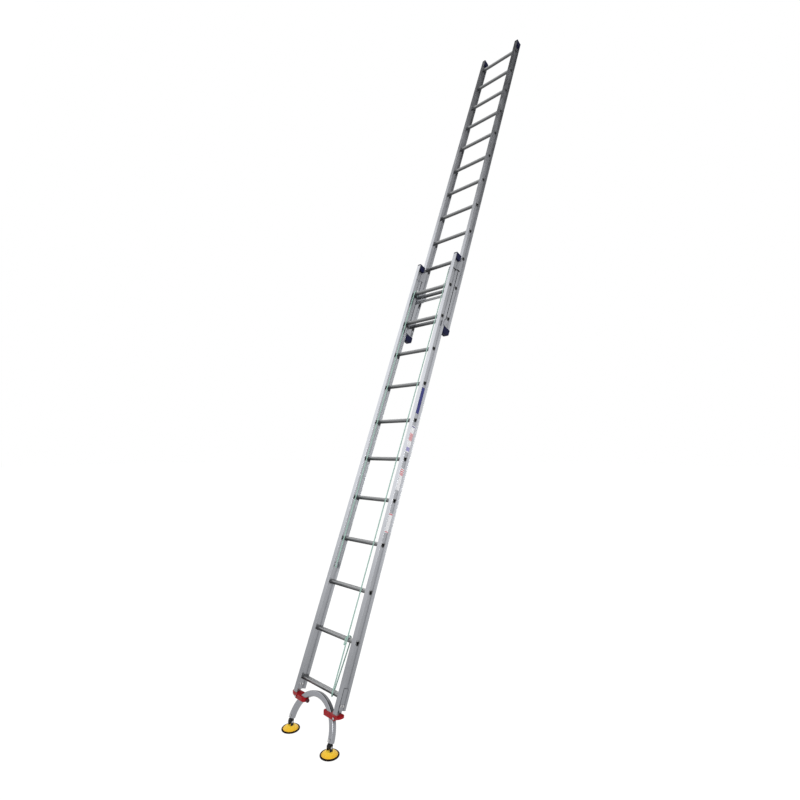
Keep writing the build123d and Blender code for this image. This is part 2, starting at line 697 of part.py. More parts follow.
for side, word in SIDES:
    middle = side * ARCH_R
    with BuildPart() as knuckle:
        with BuildSketch(facing(0, middle, KNUCKLE_PIVOT)):
            Circle(TONGUE_R)
            with Locations((0, (KNUCKLE_TOP - KNUCKLE_PIVOT) / 2)):
                Rectangle(2 * TONGUE_R, KNUCKLE_PIVOT - KNUCKLE_TOP)
        extrude(amount=ARCH_TUBE / 2 - ARCH_WALL - EAR_GAP, both=True)
        with BuildSketch(sideways(middle, 0, PAD_PIN_HEIGHT)):
            Circle(KNUCKLE_HALF)
            with Locations((0, (KNUCKLE_TOP - PAD_PIN_HEIGHT) / 2)):
                Rectangle(2 * KNUCKLE_HALF, KNUCKLE_TOP - PAD_PIN_HEIGHT)
        extrude(amount=KNUCKLE_HALF, both=True)
        drill(middle - PIN_TIP, middle + PIN_TIP, 0, PAD_PIN_HEIGHT, BOLT_R + RUN_CLEAR)
        with BuildSketch(facing(0, middle, KNUCKLE_PIVOT)):
            Circle(BOLT_R + RUN_CLEAR)
        extrude(amount=ARCH_TUBE, both=True, mode=Mode.SUBTRACT)
    keep(knuckle, f"foot_knuckle_{word}")

    with BuildPart() as pad_pin:
        pin(middle - PIN_TIP, middle, 0, PAD_PIN_HEIGHT, BOLT_R)
        pin(middle + PIN_TIP, middle, 0, PAD_PIN_HEIGHT, BOLT_R)
    keep(pad_pin, f"pad_pin_{word}")

    upright_axis = Axis((middle, 0, 0), (0, 0, 1))
    with BuildPart() as pad:
        with BuildSketch(upright_front(middle, 0, 0)):
            with BuildLine():
                Polyline((0, DOME_TOP), (0, SOLE_THICK), (PAD_R, SOLE_THICK), (PAD_R, DOME_RIM))
                Line((0, DOME_TOP), (DOME_FLAT, DOME_TOP))
                ThreePointArc((DOME_FLAT, DOME_TOP), DOME_SHOULDER, (PAD_R, DOME_RIM))
            make_face()
        revolve(axis=upright_axis)
        for ear in (-1, 1):
            start = middle + ear * (KNUCKLE_HALF + EAR_GAP)
            with BuildSketch(upright_side(start, 0, PAD_PIN_ABOVE_FLOOR)):
                Circle(EAR_R)
                with Locations((0, (SOLE_THICK - PAD_PIN_ABOVE_FLOOR) / 2)):
                    Rectangle(2 * EAR_R, PAD_PIN_ABOVE_FLOOR - SOLE_THICK)
                Circle(BOLT_R + RUN_CLEAR, mode=Mode.SUBTRACT)
            extrude(amount=ear * EAR_THICK)
    keep(pad, f"foot_pad_{word}")

    with BuildPart() as sole:
        with BuildSketch(upright_front(middle, 0, 0)):
            with BuildLine():
                Polyline(
                    (0, 0),
                    (SOLE_R - SOLE_BEVEL, 0),
                    (SOLE_R, SOLE_BEVEL),
                    (SOLE_R, DOME_RIM - SOLE_LIP),
                    (SOLE_R - SOLE_BEVEL, DOME_RIM + SOLE_LIP),
                    (PAD_R + SKIN, DOME_RIM + SOLE_LIP),
                    (PAD_R + SKIN, SOLE_THICK),
                    (0, SOLE_THICK),
                    close=True,
                )
            make_face()
        revolve(axis=upright_axis)
    keep(sole, f"foot_sole_{word}")

# Ropes: the hoist rope goes from the pulley under the lowest rung to a hitch on the second,
# its lifting end goes down to the fly's lowest rung, and a tie line runs along the left stile
make_rope(
    "hoist_rope",
    [
        (PULLEY_X, BEHIND, PULLEY_HEIGHT, 0),
        (PULLEY_X, BEHIND, SHEAVE_TOP, SHEAVE_TURN),
        (PULLEY_X, FRONT, SHEAVE_TOP, SHEAVE_TURN),
        (HOIST_FOOT_X, FRONT, UNDER, RUNG_TURN),
        (HITCH_FOOT_X, BEHIND, UNDER, RUNG_TURN),
        *over_rung(HITCH_X, PITCH),
        (HITCH_X, *HITCH_END, 0),
    ],
    knots=[(HITCH_X, *HITCH_END, KNOT_R)],
)
make_rope(
    "lift_rope",
    [
        (PULLEY_X, BEHIND, PULLEY_HEIGHT, 0),
        (PULLEY_X, BEHIND, *LIFT_BEND),
        (PULLEY_X, *LIFT_END, 0),
    ],
    knots=[(PULLEY_X, *LIFT_END, LIFT_KNOT_R)],
    loop=(PULLEY_X, SLING_DEPTH, FLY_START, SLING_R),
)
make_rope(
    "tie_rope",
    [
        (TIE_X, *TIE_TOP, 0),
        *over_rung(TIE_X, BASE_TOP_RUNG),
        (TIE_X, *TIE_END, 0),
    ],
    knots=[(TIE_X, *TIE_TOP, TIE_TOP_KNOT_R), (TIE_X, *TIE_END, KNOT_R)],
)

# Eye on the left base stile that holds the tie line's lower end
with BuildPart() as rope_eye:
    plate = (EYE_HEIGHT - EYE_PLATE_TALL / 2, EYE_HEIGHT + EYE_PLATE_TALL / 2)
    tab = (EYE_HEIGHT - EYE_TAB_TALL / 2, EYE_HEIGHT + EYE_TAB_TALL / 2)
    stile_side = -INNER_FACE + SKIN
    block((stile_side, stile_side + EYE_T), (-STILE_HALF, EYE_BACK), plate)
    block((-WEB_FACE + SKIN, stile_side), (EYE_TAB_FRONT, EYE_BACK), tab)
    with BuildSketch(across(EYE_HEIGHT - EYE_T)):
        with Locations((TIE_X, TIE_END[0])):
            Circle(EYE_R)
        with Locations(((TIE_X + stile_side) / 2, TIE_END[0])):
            Rectangle(TIE_X - stile_side, 2 * EYE_R)
    extrude(amount=2 * EYE_T)
    with BuildSketch(across(EYE_HEIGHT - EYE_T)):
        with Locations((TIE_X, TIE_END[0])):
            Circle(ROPE_R + EYE_SLACK)
    extrude(amount=2 * EYE_T, mode=Mode.SUBTRACT)
keep(rope_eye, "rope_eye")
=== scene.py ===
# %% [markdown]
# # An extension ladder, leaning as it is used
#
# The solid parts of this ladder were drawn elsewhere at their real size, and they arrive here as a
# fixed frame. This lesson gives them their finishes and adds what a solid model leaves out: the
# twisted ropes, the ribs on the treads, rivet heads, moulded grips and blank stickers.

# %% Load the frame
import json
import math

import bmesh
import bpy
from mathutils import Matrix, Vector


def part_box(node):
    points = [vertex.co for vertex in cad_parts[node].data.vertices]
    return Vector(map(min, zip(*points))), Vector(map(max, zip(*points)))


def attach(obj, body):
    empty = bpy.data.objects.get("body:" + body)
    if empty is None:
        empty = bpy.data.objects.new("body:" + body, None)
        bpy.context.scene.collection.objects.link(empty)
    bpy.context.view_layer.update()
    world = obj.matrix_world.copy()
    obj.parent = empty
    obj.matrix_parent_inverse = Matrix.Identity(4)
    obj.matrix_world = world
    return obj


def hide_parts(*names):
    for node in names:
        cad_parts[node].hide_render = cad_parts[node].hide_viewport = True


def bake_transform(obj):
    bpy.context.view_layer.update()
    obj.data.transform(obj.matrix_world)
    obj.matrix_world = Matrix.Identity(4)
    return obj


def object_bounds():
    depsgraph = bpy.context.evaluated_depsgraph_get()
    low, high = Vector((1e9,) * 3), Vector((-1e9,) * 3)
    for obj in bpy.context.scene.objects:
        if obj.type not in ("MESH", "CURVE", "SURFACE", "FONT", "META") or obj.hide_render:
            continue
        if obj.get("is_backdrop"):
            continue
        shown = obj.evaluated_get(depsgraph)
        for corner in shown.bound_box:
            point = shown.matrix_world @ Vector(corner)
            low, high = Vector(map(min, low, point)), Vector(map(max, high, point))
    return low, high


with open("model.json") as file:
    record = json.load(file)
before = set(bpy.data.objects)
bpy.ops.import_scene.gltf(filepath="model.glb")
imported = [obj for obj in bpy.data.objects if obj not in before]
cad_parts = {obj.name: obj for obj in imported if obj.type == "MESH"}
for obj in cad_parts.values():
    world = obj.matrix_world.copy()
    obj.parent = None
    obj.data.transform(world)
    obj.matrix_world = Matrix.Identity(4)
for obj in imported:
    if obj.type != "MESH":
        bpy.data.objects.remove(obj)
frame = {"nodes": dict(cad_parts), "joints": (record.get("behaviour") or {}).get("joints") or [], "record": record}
cad_low, cad_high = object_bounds()
nodes = frame["nodes"]
joints = {joint["name"]: joint for joint in frame["joints"]}
colours = {finish["slot"]: finish["base_color"] for finish in frame["record"]["materials"]}
slot_of = {part["node"]: part["material_slot"] for part in frame["record"]["subparts"]}

# %% [markdown]
# ## The ladder's own directions
#
# A leaning ladder is easier to work on in its own directions than in the room's: across the rungs,
# in depth from the climber towards the wall, and in height along the stiles from the lowest rung.
# Two joints already hold those directions, so they are read from there and not typed in again.

# %% Ladder directions
ARCH_HEIGHT = -0.245
ACROSS = Vector((1, 0, 0))
DEPTH = Vector(joints["arch_tilt"]["axis"])
ALONG = Vector(joints["fly_slide"]["axis"])
LEAN = math.atan2(ALONG.y, ALONG.z)
ORIGIN = Vector(joints["arch_tilt"]["pos_m"]) - ALONG * ARCH_HEIGHT


def at(x, depth, height):
    """A point given in the ladder's own directions, in metres."""
    return ORIGIN + ACROSS * x + DEPTH * depth + ALONG * height


FLY_DEPTH = 0.0745
FLY_RUNG_HEIGHT = 2.760
RUNG_SHIFT = 0.0018
TREAD_TILT = math.radians(15.0)
PITCH = (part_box("base_rung_02")[0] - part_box("base_rung_01")[0]).dot(ALONG)
BASE_RUNGS = sum(name.startswith("base_rung_") for name in nodes)
FLY_RUNGS = sum(name.startswith("fly_rung_") for name in nodes)
print(f"lean {math.degrees(LEAN):.1f} degrees, rungs {PITCH * 1000:.0f} mm apart")

# %% [markdown]
# ## The camera
#
# A wide lens close to the ladder makes the foot look large and the top look small. The place and the
# angles below were worked out from the ends of the rungs in the picture, so the same rungs fall on
# the same pixels. The camera stands at eye height and looks a little upwards.

# %% Camera
EYE_PLACE = (2.5875, -1.9351, 1.7797)
EYE_TURN = math.radians(43.3945)
EYE_TILT = math.radians(5.7925)
EYE_ROLL = math.radians(0.1309)
SENSOR = 36.0
FOCAL_SHARE = 488.05 / 800

camera_data = bpy.data.cameras.new("eye")
camera_data.sensor_width = SENSOR
camera_data.lens = SENSOR * FOCAL_SHARE
camera = bpy.data.objects.new("eye", camera_data)
turned = Matrix.Rotation(EYE_TURN, 3, "Z") @ Matrix.Rotation(math.pi / 2 + EYE_TILT, 3, "X")
camera.rotation_euler = (turned @ Matrix.Rotation(EYE_ROLL, 3, "Z")).to_euler()
camera.location = EYE_PLACE
bpy.context.scene.collection.objects.link(camera)
bpy.context.scene.camera = camera
bpy.context.scene.view_settings.view_transform = "Standard"
print(f"lens {camera_data.lens:.1f} mm at {EYE_PLACE[2]:.2f} m above the floor")

# %% [markdown]
# ## Wires
#
# Both shaders and geometry trees are nodes joined by wires. One small class wraps an output socket,
# so that wires can be added and multiplied like numbers, and one method makes any other node. The
# rest of the lesson then reads as formulas and not as lists of links.

# %% The wire class


class Wire:
    """An output socket of a node tree that can be used in sums and handed to other nodes."""

    def __init__(self, tree, socket=None):
        self.tree = tree
        self.socket = socket

    def node(self, kind, settings=None, sockets=None, out=0):
        """Add a node: its settings first, then values or wires for its sockets."""
        made = self.tree.nodes.new(kind)
        for name, value in (settings or {}).items():
            setattr(made, name, value)
        for key, value in (sockets or {}).items():
            for part in value if isinstance(value, list) else [value]:
                if isinstance(part, Wire):
                    self.tree.links.new(part.socket, made.inputs[key])
                else:
                    made.inputs[key].default_value = part
        return Wire(self.tree, made.outputs[out] if made.outputs else None)

    def out(self, name):
        """Another output of the same node."""
        return Wire(self.tree, self.socket.node.outputs[name])

    def maths(self, operation, *values):
        """A Math node on one or two values or wires."""
        return self.node("ShaderNodeMath", {"operation": operation}, dict(enumerate(values)))

    def __add__(self, other):
        return self.maths("ADD", self, other)

    def __sub__(self, other):
        return self.maths("SUBTRACT", self, other)

    def __rsub__(self, other):
        return self.maths("SUBTRACT", other, self)

    def __mul__(self, other):
        return self.maths("MULTIPLY", self, other)

    def __gt__(self, other):
        return self.maths("GREATER_THAN", self, other)

    __radd__ = __add__
    __rmul__ = __mul__


print("wires can be added, subtracted, multiplied and compared")

# %% [markdown]
# ## A kit for finishes
#
# Each finish starts from the same few moves: where on the ladder a point is, a noise that is
# stretched along the grain, a mix of two colours and a shallow bump. They are written once here. The
# Mapping node turns the room's coordinates into the ladder's own, so that a grain can run along a stile.

# %% Finish kit


def sheet_of_paper(name):
    """A new material with nothing in it yet, and a wire to start drawing with."""
    made = bpy.data.materials.new(name)
    made.use_nodes = True
    made.node_tree.nodes.clear()
    return made, Wire(made.node_tree)


def ladder_place(pen, stretch=(1, 1, 1)):
    """Coordinates along the ladder's own directions, stretched by so many times."""
    place = pen.node("ShaderNodeTexCoord", out="Object")
    return pen.node(
        "ShaderNodeMapping",
        {"vector_type": "TEXTURE"},
        {"Vector": place, "Location": ORIGIN, "Rotation": (-LEAN, 0, 0), "Scale": stretch},
    )


def ladder_parts(pen):
    """How far across the ladder a point is; outputs Y and Z give its depth and its height."""
    return pen.node("ShaderNodeSeparateXYZ", {}, {"Vector": ladder_place(pen)}, "X")


def noise(pen, place, per_metre, detail=3.0, rough=0.55):
    """Smooth noise with so many bumps to the metre."""
    sockets = {"Vector": place, "Scale": per_metre, "Detail": detail, "Roughness": rough}
    return pen.node("ShaderNodeTexNoise", {}, sockets)


def between(pen, value, low, high, to_low=0.0, to_high=1.0):
    """Spread a value from low to high over another range, and stop at its ends."""
    sockets = {"Value": value, "From Min": low, "From Max": high, "To Min": to_low, "To Max": to_high}
    return pen.node("ShaderNodeMapRange", {}, sockets)


def inside(value, low, high):
    """1 where a value lies between low and high, and 0 elsewhere."""
    return (value > low) * (1 - (value > high))


def distance(pen, first, second):
    """The distance that two steps at right angles make."""
    return pen.maths("SQRT", first * first + second * second)


def mix(pen, share, first, second):
    """One colour where share is 0 and another where it is 1."""
    return pen.node("ShaderNodeMix", {"data_type": "RGBA"}, {0: share, 6: first, 7: second}, 2)


def tint(colour, factor):
    """A colour made lighter or darker."""
    return tuple(min(1.0, channel * factor) for channel in colour[:3]) + (1.0,)


def bump(pen, height, millimetres, strength=1.0):
    """A surface normal that rises and falls by about so many millimetres."""
    sockets = {"Height": height, "Distance": millimetres / 1000, "Strength": strength}
    return pen.node("ShaderNodeBump", {}, sockets)


def surface(pen, sockets):
    """Close a material with one shader."""
    shader = pen.node("ShaderNodeBsdfPrincipled", {}, sockets, "BSDF")
    pen.node("ShaderNodeOutputMaterial", {}, {"Surface": shader})


print("finish kit ready")

# %% [markdown]
# ## Aluminium
#
# The stiles are extruded: the die leaves fine lines along their whole length, and handling leaves
# dull patches. The rungs are drawn the same way, but across the ladder. One function makes all of the
# bare metal, and only the stretch of the noise says which way the lines run. Three masks come first:
# painted shade under the rungs, a darker band on the arch's outer face and a painted shadow line below the guides.

# %% Masks for painted shade and darker marks on the metal
RAISED_BY = 9
UNDERSIDE_FADE = (-0.006, 0.002)
RUNG_REACH = 0.03


def rung_underside_shade(pen):
    """How far a point lies under the middle of its rung, for the painted shade there: 1 below it and 0 above it.
    """
    parts = ladder_parts(pen)
    on_fly = parts.out("Y") > FLY_DEPTH / 2
    depth = parts.out("Y") - RUNG_SHIFT - on_fly * FLY_DEPTH
    height = parts.out("Z") - on_fly * (FLY_RUNG_HEIGHT - RAISED_BY * PITCH) + PITCH / 2
    height = pen.maths("MODULO", height, PITCH) - PITCH / 2
    level = height * math.cos(TREAD_TILT) - depth * math.sin(TREAD_TILT)
    return between(pen, level, *UNDERSIDE_FADE, 1.0, 0.0) * (level > -RUNG_REACH)


ARCH_OUTSIDE = 0.2130
BAND_FADE = (-0.15, -0.12)


def arch_band(pen):
    """The arch's outer face above the clamps, which is drawn darker there."""
    parts = ladder_parts(pen)
    reach = distance(pen, parts, parts.out("Z") - ARCH_HEIGHT)
    return (reach > ARCH_OUTSIDE) * between(pen, parts.out("Z"), *BAND_FADE)


GUIDE_EDGE = (3.205, 3.215)
GUIDE_INSIDE = 0.2020


def guide_edge_shadow(pen):
    """The lower edge of the base's upper guides, outside the stiles' webs, where a painted shadow line goes."""
    parts = ladder_parts(pen)
    outside = parts * parts > GUIDE_INSIDE**2
    return outside * inside(parts.out("Z"), *GUIDE_EDGE)


print("three masks for darkening")

# %% Aluminium
LINES_PER_METRE = 900.0
PATCHES_PER_METRE = 7.0
SCUFFS_PER_METRE = 120.0
SCUFF_STRETCH = (0.25, 0.25, 1.0)
FOOT_DULL = 0.66
FOOT_EVEN_FROM = 1.3
BLACK = (0.0, 0.0, 0.0, 1.0)


def aluminium(slot, stretch, roughness, contrast):
    """Bare aluminium: die lines along the stretched direction, dull patches, a darker foot, and the masks' painted
    shade and darker marks.
    """
    made, pen = sheet_of_paper(slot)
    lines = noise(pen, ladder_place(pen, stretch), LINES_PER_METRE, 4.0, 0.7)
    patches = noise(pen, ladder_place(pen), PATCHES_PER_METRE, 4.0, 0.6)
    rubbed = noise(pen, ladder_place(pen, SCUFF_STRETCH), SCUFFS_PER_METRE, 5.0, 0.7)
    scuffs = between(pen, rubbed, 0.66, 0.72)
    bare = tint(colours[slot], 1.0)
    light = tint(bare, 1 + contrast)
    dark = tint(bare, 1 - contrast)
    metal = mix(pen, between(pen, lines * 0.7 + patches * 0.5, 0.4, 0.8), dark, light)
    if slot == "rung_aluminium":
        # Painted shade: the rungs' undersides are drawn darker.
        metal = mix(pen, rung_underside_shade(pen), metal, tint(bare, 0.3))
    else:
        # The stiles, plates and arch are drawn darker towards the foot, up to a given height.
        height = ladder_parts(pen).out("Z")
        foot_dark_share = between(pen, height, 0.0, FOOT_EVEN_FROM, 1 - FOOT_DULL, 0.0)
        metal = mix(pen, foot_dark_share, metal, BLACK)
    if slot == "plate_aluminium":
        # Painted shadow: a thin dark line along the lower edge of the guides.
        metal = mix(pen, guide_edge_shadow(pen), metal, tint(bare, 0.08))
    if slot == "arch_aluminium":
        # The arch's outer face above the clamps is drawn darker.
        metal = mix(pen, arch_band(pen), metal, tint(bare, 0.2))
    surface(
        pen,
        {
            "Base Color": mix(pen, scuffs * 0.35, metal, tint(bare, 0.62)),
            "Metallic": 1.0,
            "Roughness": between(
                pen, patches + lines * 0.3, 0.4, 0.9, roughness - 0.08, roughness + 0.1
            ),
            "Normal": bump(pen, lines, 0.12, 0.25),
        },
    )
    return made


finishes = {}
for slot, *look in (
    ("stile_aluminium", (1, 1, 80), 0.28, 0.10),
    ("rung_aluminium", (80, 1, 1), 0.42, 0.12),
    ("plate_aluminium", (1, 1, 30), 0.34, 0.08),
    ("arch_aluminium", (3, 1, 3), 0.30, 0.06),
):
    finishes[slot] = aluminium(slot, *look)
print(f"aluminium: {', '.join(finishes)}")

# %% [markdown]
# ## Steel, plastic, paint and rubber
#
# The other rigid finishes are plainer. Zinc plate has small crystals, moulded plastic has a fine
# grain, paint has the ripple that is called orange peel, and rubber gathers dust.

# %% Zinc-plated steel
CRYSTALS_PER_METRE = 700.0


def zinc_plate(slot):
    """Zinc-plated steel: small crystals that reflect a little differently."""
    made, pen = sheet_of_paper(slot)
    place = ladder_place(pen)
    cells = {"Vector": place, "Scale": CRYSTALS_PER_METRE}
    crystals = pen.node("ShaderNodeTexVoronoi", {}, cells, "Distance")
    cloud = noise(pen, place, 60.0)
    dull = tint(colours[slot], 0.8)
    bright = tint(colours[slot], 1.08)
    surface(
        pen,
        {
            "Base Color": mix(pen, crystals + cloud * 0.5, dull, bright),
            "Metallic": 1.0,
            "Roughness": between(pen, cloud, 0.3, 0.7, 0.24, 0.42),
            "Normal": bump(pen, crystals, 0.05, 0.3),
        },
    )
    return made


finishes["steel"] = zinc_plate("steel")
print("zinc-plated steel")

# %% Moulded plastic and rubber
DUST = (0.42, 0.40, 0.37, 1.0)


def moulding(slot, grain_per_metre, roughness, shine, dust):
    """Moulded plastic or rubber with a fine grain, a soft change of colour and dust in places."""
    made, pen = sheet_of_paper(slot)
    place = ladder_place(pen)
    grain = noise(pen, place, grain_per_metre, 2.0)
    cloud = noise(pen, place, 40.0, 4.0)
    body = mix(pen, cloud, tint(colours[slot], 0.8), tint(colours[slot], 1.25))
    surface(
        pen,
        {
            "Base Color": mix(pen, between(pen, cloud, 0.58, 0.8) * dust, body, DUST),
            "Roughness": between(
                pen, cloud + grain * 0.4, 0.4, 0.9, roughness - 0.08, roughness + 0.12
            ),
            "Specular IOR Level": shine,
            "Normal": bump(pen, grain, 0.15, 0.35),
        },
    )
    return made


for slot, *look in (
    ("cap_blue", 1500.0, 0.40, 0.10, 0.01),
    ("knob_red", 900.0, 0.35, 0.25, 0.02),
    ("knuckle_black", 1300.0, 0.42, 0.12, 0.01),
    ("sheave_nylon", 900.0, 0.45, 0.40, 0.05),
    ("sole_rubber", 1100.0, 0.72, 0.06, 0.02),
):
    finishes[slot] = moulding(slot, *look)
print(f"{len(finishes)} finishes so far")

# %% Painted clamps
BARE_CHIP = (0.55, 0.5, 0.48, 1.0)
COAT = 0.08


def gloss_paint(slot):
    """Thick gloss paint over a casting: orange peel, and a few chips down to bright metal."""
    made, pen = sheet_of_paper(slot)
    place = ladder_place(pen)
    peel = noise(pen, place, 260.0, 2.0)
    chips = between(pen, noise(pen, place, 150.0, 6.0, 0.75), 0.70, 0.73)
    cloud = noise(pen, place, 25.0)
    paint = mix(pen, cloud, tint(colours[slot], 0.8), tint(colours[slot], 1.2))
    surface(
        pen,
        {
            "Base Color": mix(pen, chips, paint, BARE_CHIP),
            "Metallic": chips * 0.8,
            "Roughness": between(pen, peel, 0.3, 0.7, 0.24, 0.36),
            "Specular IOR Level": 0.15,
            "Coat Weight": COAT - chips * COAT,
            "Coat Roughness": 0.08,
            "Normal": bump(pen, peel, 0.2, 0.3),
        },
    )
    return made


finishes["clamp_red"] = gloss_paint("clamp_red")
print("gloss paint")

# %% [markdown]
# ## The pads' two colours
#
# A pad is one casting, but its ears are dipped in black like the knuckle between them, and its dome
# is yellow, darker and more orange towards the rim: an orange tone with painted shade of the dome's slope.
# Two masks do this: one from the height above the floor, because a pad lies flat on it at rest, and one from the
# distance to the pad's middle.

# %% Pad finish
DOME_TOP = 0.0245
PAD_X = abs(joints["pad_right_tilt"]["pos_m"][0])
RIM_FADE = (0.03, 0.07)
RIM_ORANGE_AND_SHADE = (0.72, 0.38, 0.015, 1.0)
SCUFF_BROWN = (0.45, 0.22, 0.02, 1.0)
EAR_BLACK = (0.015, 0.015, 0.017, 1.0)


def pad_paint(slot):
    """Yellow dome, warmer and darker at the rim with painted shade there, scuffed, with black ears above it."""
    made, pen = sheet_of_paper(slot)
    place = pen.node("ShaderNodeTexCoord", out="Object")
    parts = pen.node("ShaderNodeSeparateXYZ", {}, {"Vector": place}, "X")
    reach = distance(pen, pen.maths("ABSOLUTE", parts) - PAD_X, parts.out("Y"))
    speckle = noise(pen, place, 220.0, 5.0, 0.7)
    # The rim's darker orange is partly the pad's tone and partly painted shade.
    rim_tone_and_shade = between(pen, reach + speckle * 0.02, *RIM_FADE)
    yellow = mix(pen, rim_tone_and_shade, tint(colours[slot], 0.98), RIM_ORANGE_AND_SHADE)
    worn = mix(pen, between(pen, speckle, 0.60, 0.72) * 0.3, yellow, SCUFF_BROWN)
    ears = parts.out("Z") > DOME_TOP
    surface(
        pen,
        {
            "Base Color": mix(pen, ears, worn, EAR_BLACK),
            "Roughness": between(pen, speckle, 0.35, 0.7, 0.28, 0.5),
            "Specular IOR Level": 0.15,
            "Normal": bump(pen, speckle, 0.25, 0.3),
        },
    )
    return made


finishes["pad_yellow"] = pad_paint("pad_yellow")
print("pads: yellow dome, black ears")

# %% [markdown]
# ## Rope finish
#
# The rope is mint-green polypropylene, three strands laid to the right. Its fibres run along each
# strand, so the finish reads two attributes that the rope's own tree will store: how far along a
# strand a point is, and how far round it.

# %% Rope finish
FIBRES_ROUND = 26.0
FIBRES_PER_METRE = 45.0


def rope_fibres(slot):
    """Fine fibres along each strand, paler where the light has bleached them, with painted shade in the fibres'
    low grooves.
    """
    made, pen = sheet_of_paper(slot)
    run = pen.node("ShaderNodeAttribute", {"attribute_name": "run"}, {}, "Fac")
    around = pen.node("ShaderNodeAttribute", {"attribute_name": "around"}, {}, "Fac")
    spread = {"X": around * FIBRES_ROUND, "Y": run * FIBRES_PER_METRE}
    fibres = noise(pen, pen.node("ShaderNodeCombineXYZ", {}, spread), 1.0, 3.0, 0.65)
    bleach = noise(pen, pen.node("ShaderNodeTexCoord", out="Object"), 9.0)
    mint = mix(pen, bleach, tint(colours[slot], 0.68), tint(colours[slot], 0.86))
    # Painted shade: the low parts of the fibre bump are drawn darker.
    groove_shade = tint(colours[slot], 0.70)
    surface(
        pen,
        {
            "Base Color": mix(pen, between(pen, fibres, 0.3, 0.7), groove_shade, mint),
            "Roughness": between(pen, fibres, 0.3, 0.7, 0.62, 0.45),
            "Normal": bump(pen, fibres, 0.2, 0.3),
        },
    )
    return made


finishes["rope"] = rope_fibres("rope")
for node, slot in slot_of.items():
    nodes[node].data.materials.clear()
    nodes[node].data.materials.append(finishes[slot])
print(f"{len(slot_of)} solid parts have one of {len(finishes)} finishes")

# %% [markdown]
# ## A kit for geometry trees
#
# A tree gets a named input for each of its sizes. The modifier that runs the tree wants the inputs'
# identifiers and not their names, so they are looked up in the tree's interface. The result is kept
# as a plain mesh, because an exporter drops instances, and the helper object goes away again.

# %% Tree kit
SOCKETS = {int: "NodeSocketInt", float: "NodeSocketFloat", Vector: "NodeSocketVector"}


def new_tree(name, sizes):
    """A tree with named inputs: gives the tree, its inputs by name and a closing function."""
    tree = bpy.data.node_groups.new(name, "GeometryNodeTree")
    tree.interface.new_socket("Geometry", in_out="INPUT", socket_type="NodeSocketGeometry")
    tree.interface.new_socket("Geometry", in_out="OUTPUT", socket_type="NodeSocketGeometry")
    for label, kind in sizes.items():
        tree.interface.new_socket(label, in_out="INPUT", socket_type=SOCKETS[kind])
    finish = tree.interface.new_socket("Finish", in_out="INPUT", socket_type="NodeSocketMaterial")
    start = Wire(tree).node("NodeGroupInput")
    inputs = {label: start.out(label) for label in ("Geometry", "Finish", *sizes)}

    def close(shape):
        """End the tree: instances become real faces and get the finish."""
        whole = shape.node("GeometryNodeRealizeInstances", {}, {"Geometry": shape})
        painted = shape.node(
            "GeometryNodeSetMaterial", {}, {"Geometry": whole, "Material": inputs[finish.name]}
        )
        shape.node("NodeGroupOutput", {}, {"Geometry": painted})

    return tree, inputs, close


def show(name, mesh):
    """A mesh as an object of the scene."""
    piece = bpy.data.objects.new(name, mesh)
    bpy.context.scene.collection.objects.link(piece)
    return piece


def grow(name, seed_mesh, tree, finish, sizes):
    """Run a tree on a mesh and keep the result as a plain mesh object."""
    seed = show(name + "_seed", seed_mesh)
    modifier = seed.modifiers.new("tree", "NODES")
    modifier.node_group = tree
    values = {**sizes, "Finish": finish}
    for item in tree.interface.items_tree:
        if item.in_out == "INPUT" and item.name in values:
            modifier[item.identifier] = values[item.name]
    graph = bpy.context.evaluated_depsgraph_get()
    mesh = bpy.data.meshes.new_from_object(seed.evaluated_get(graph))
    seed.modifiers.remove(modifier)
    bpy.data.objects.remove(seed)
    print(f"{name}: {len(mesh.polygons)} faces")
    return show(name, mesh)


print("tree kit ready")

# %% [markdown]
# ## Ropes
#
# A rope's route is a short list of points on one smooth spline: where it turns round the pulley, goes
# under a rung, or is hitched over one. The tree then lays three strands round that line, as a rope
# walk does. Each strand is moved off the line by a turning offset and given a round section.

# %% Strand tree
ROPE_R = 0.0045
STRAND_R = 0.0028
LAY = 0.022
STEP = 0.0020
STRANDS = 3
STRAND_SIDES = 7


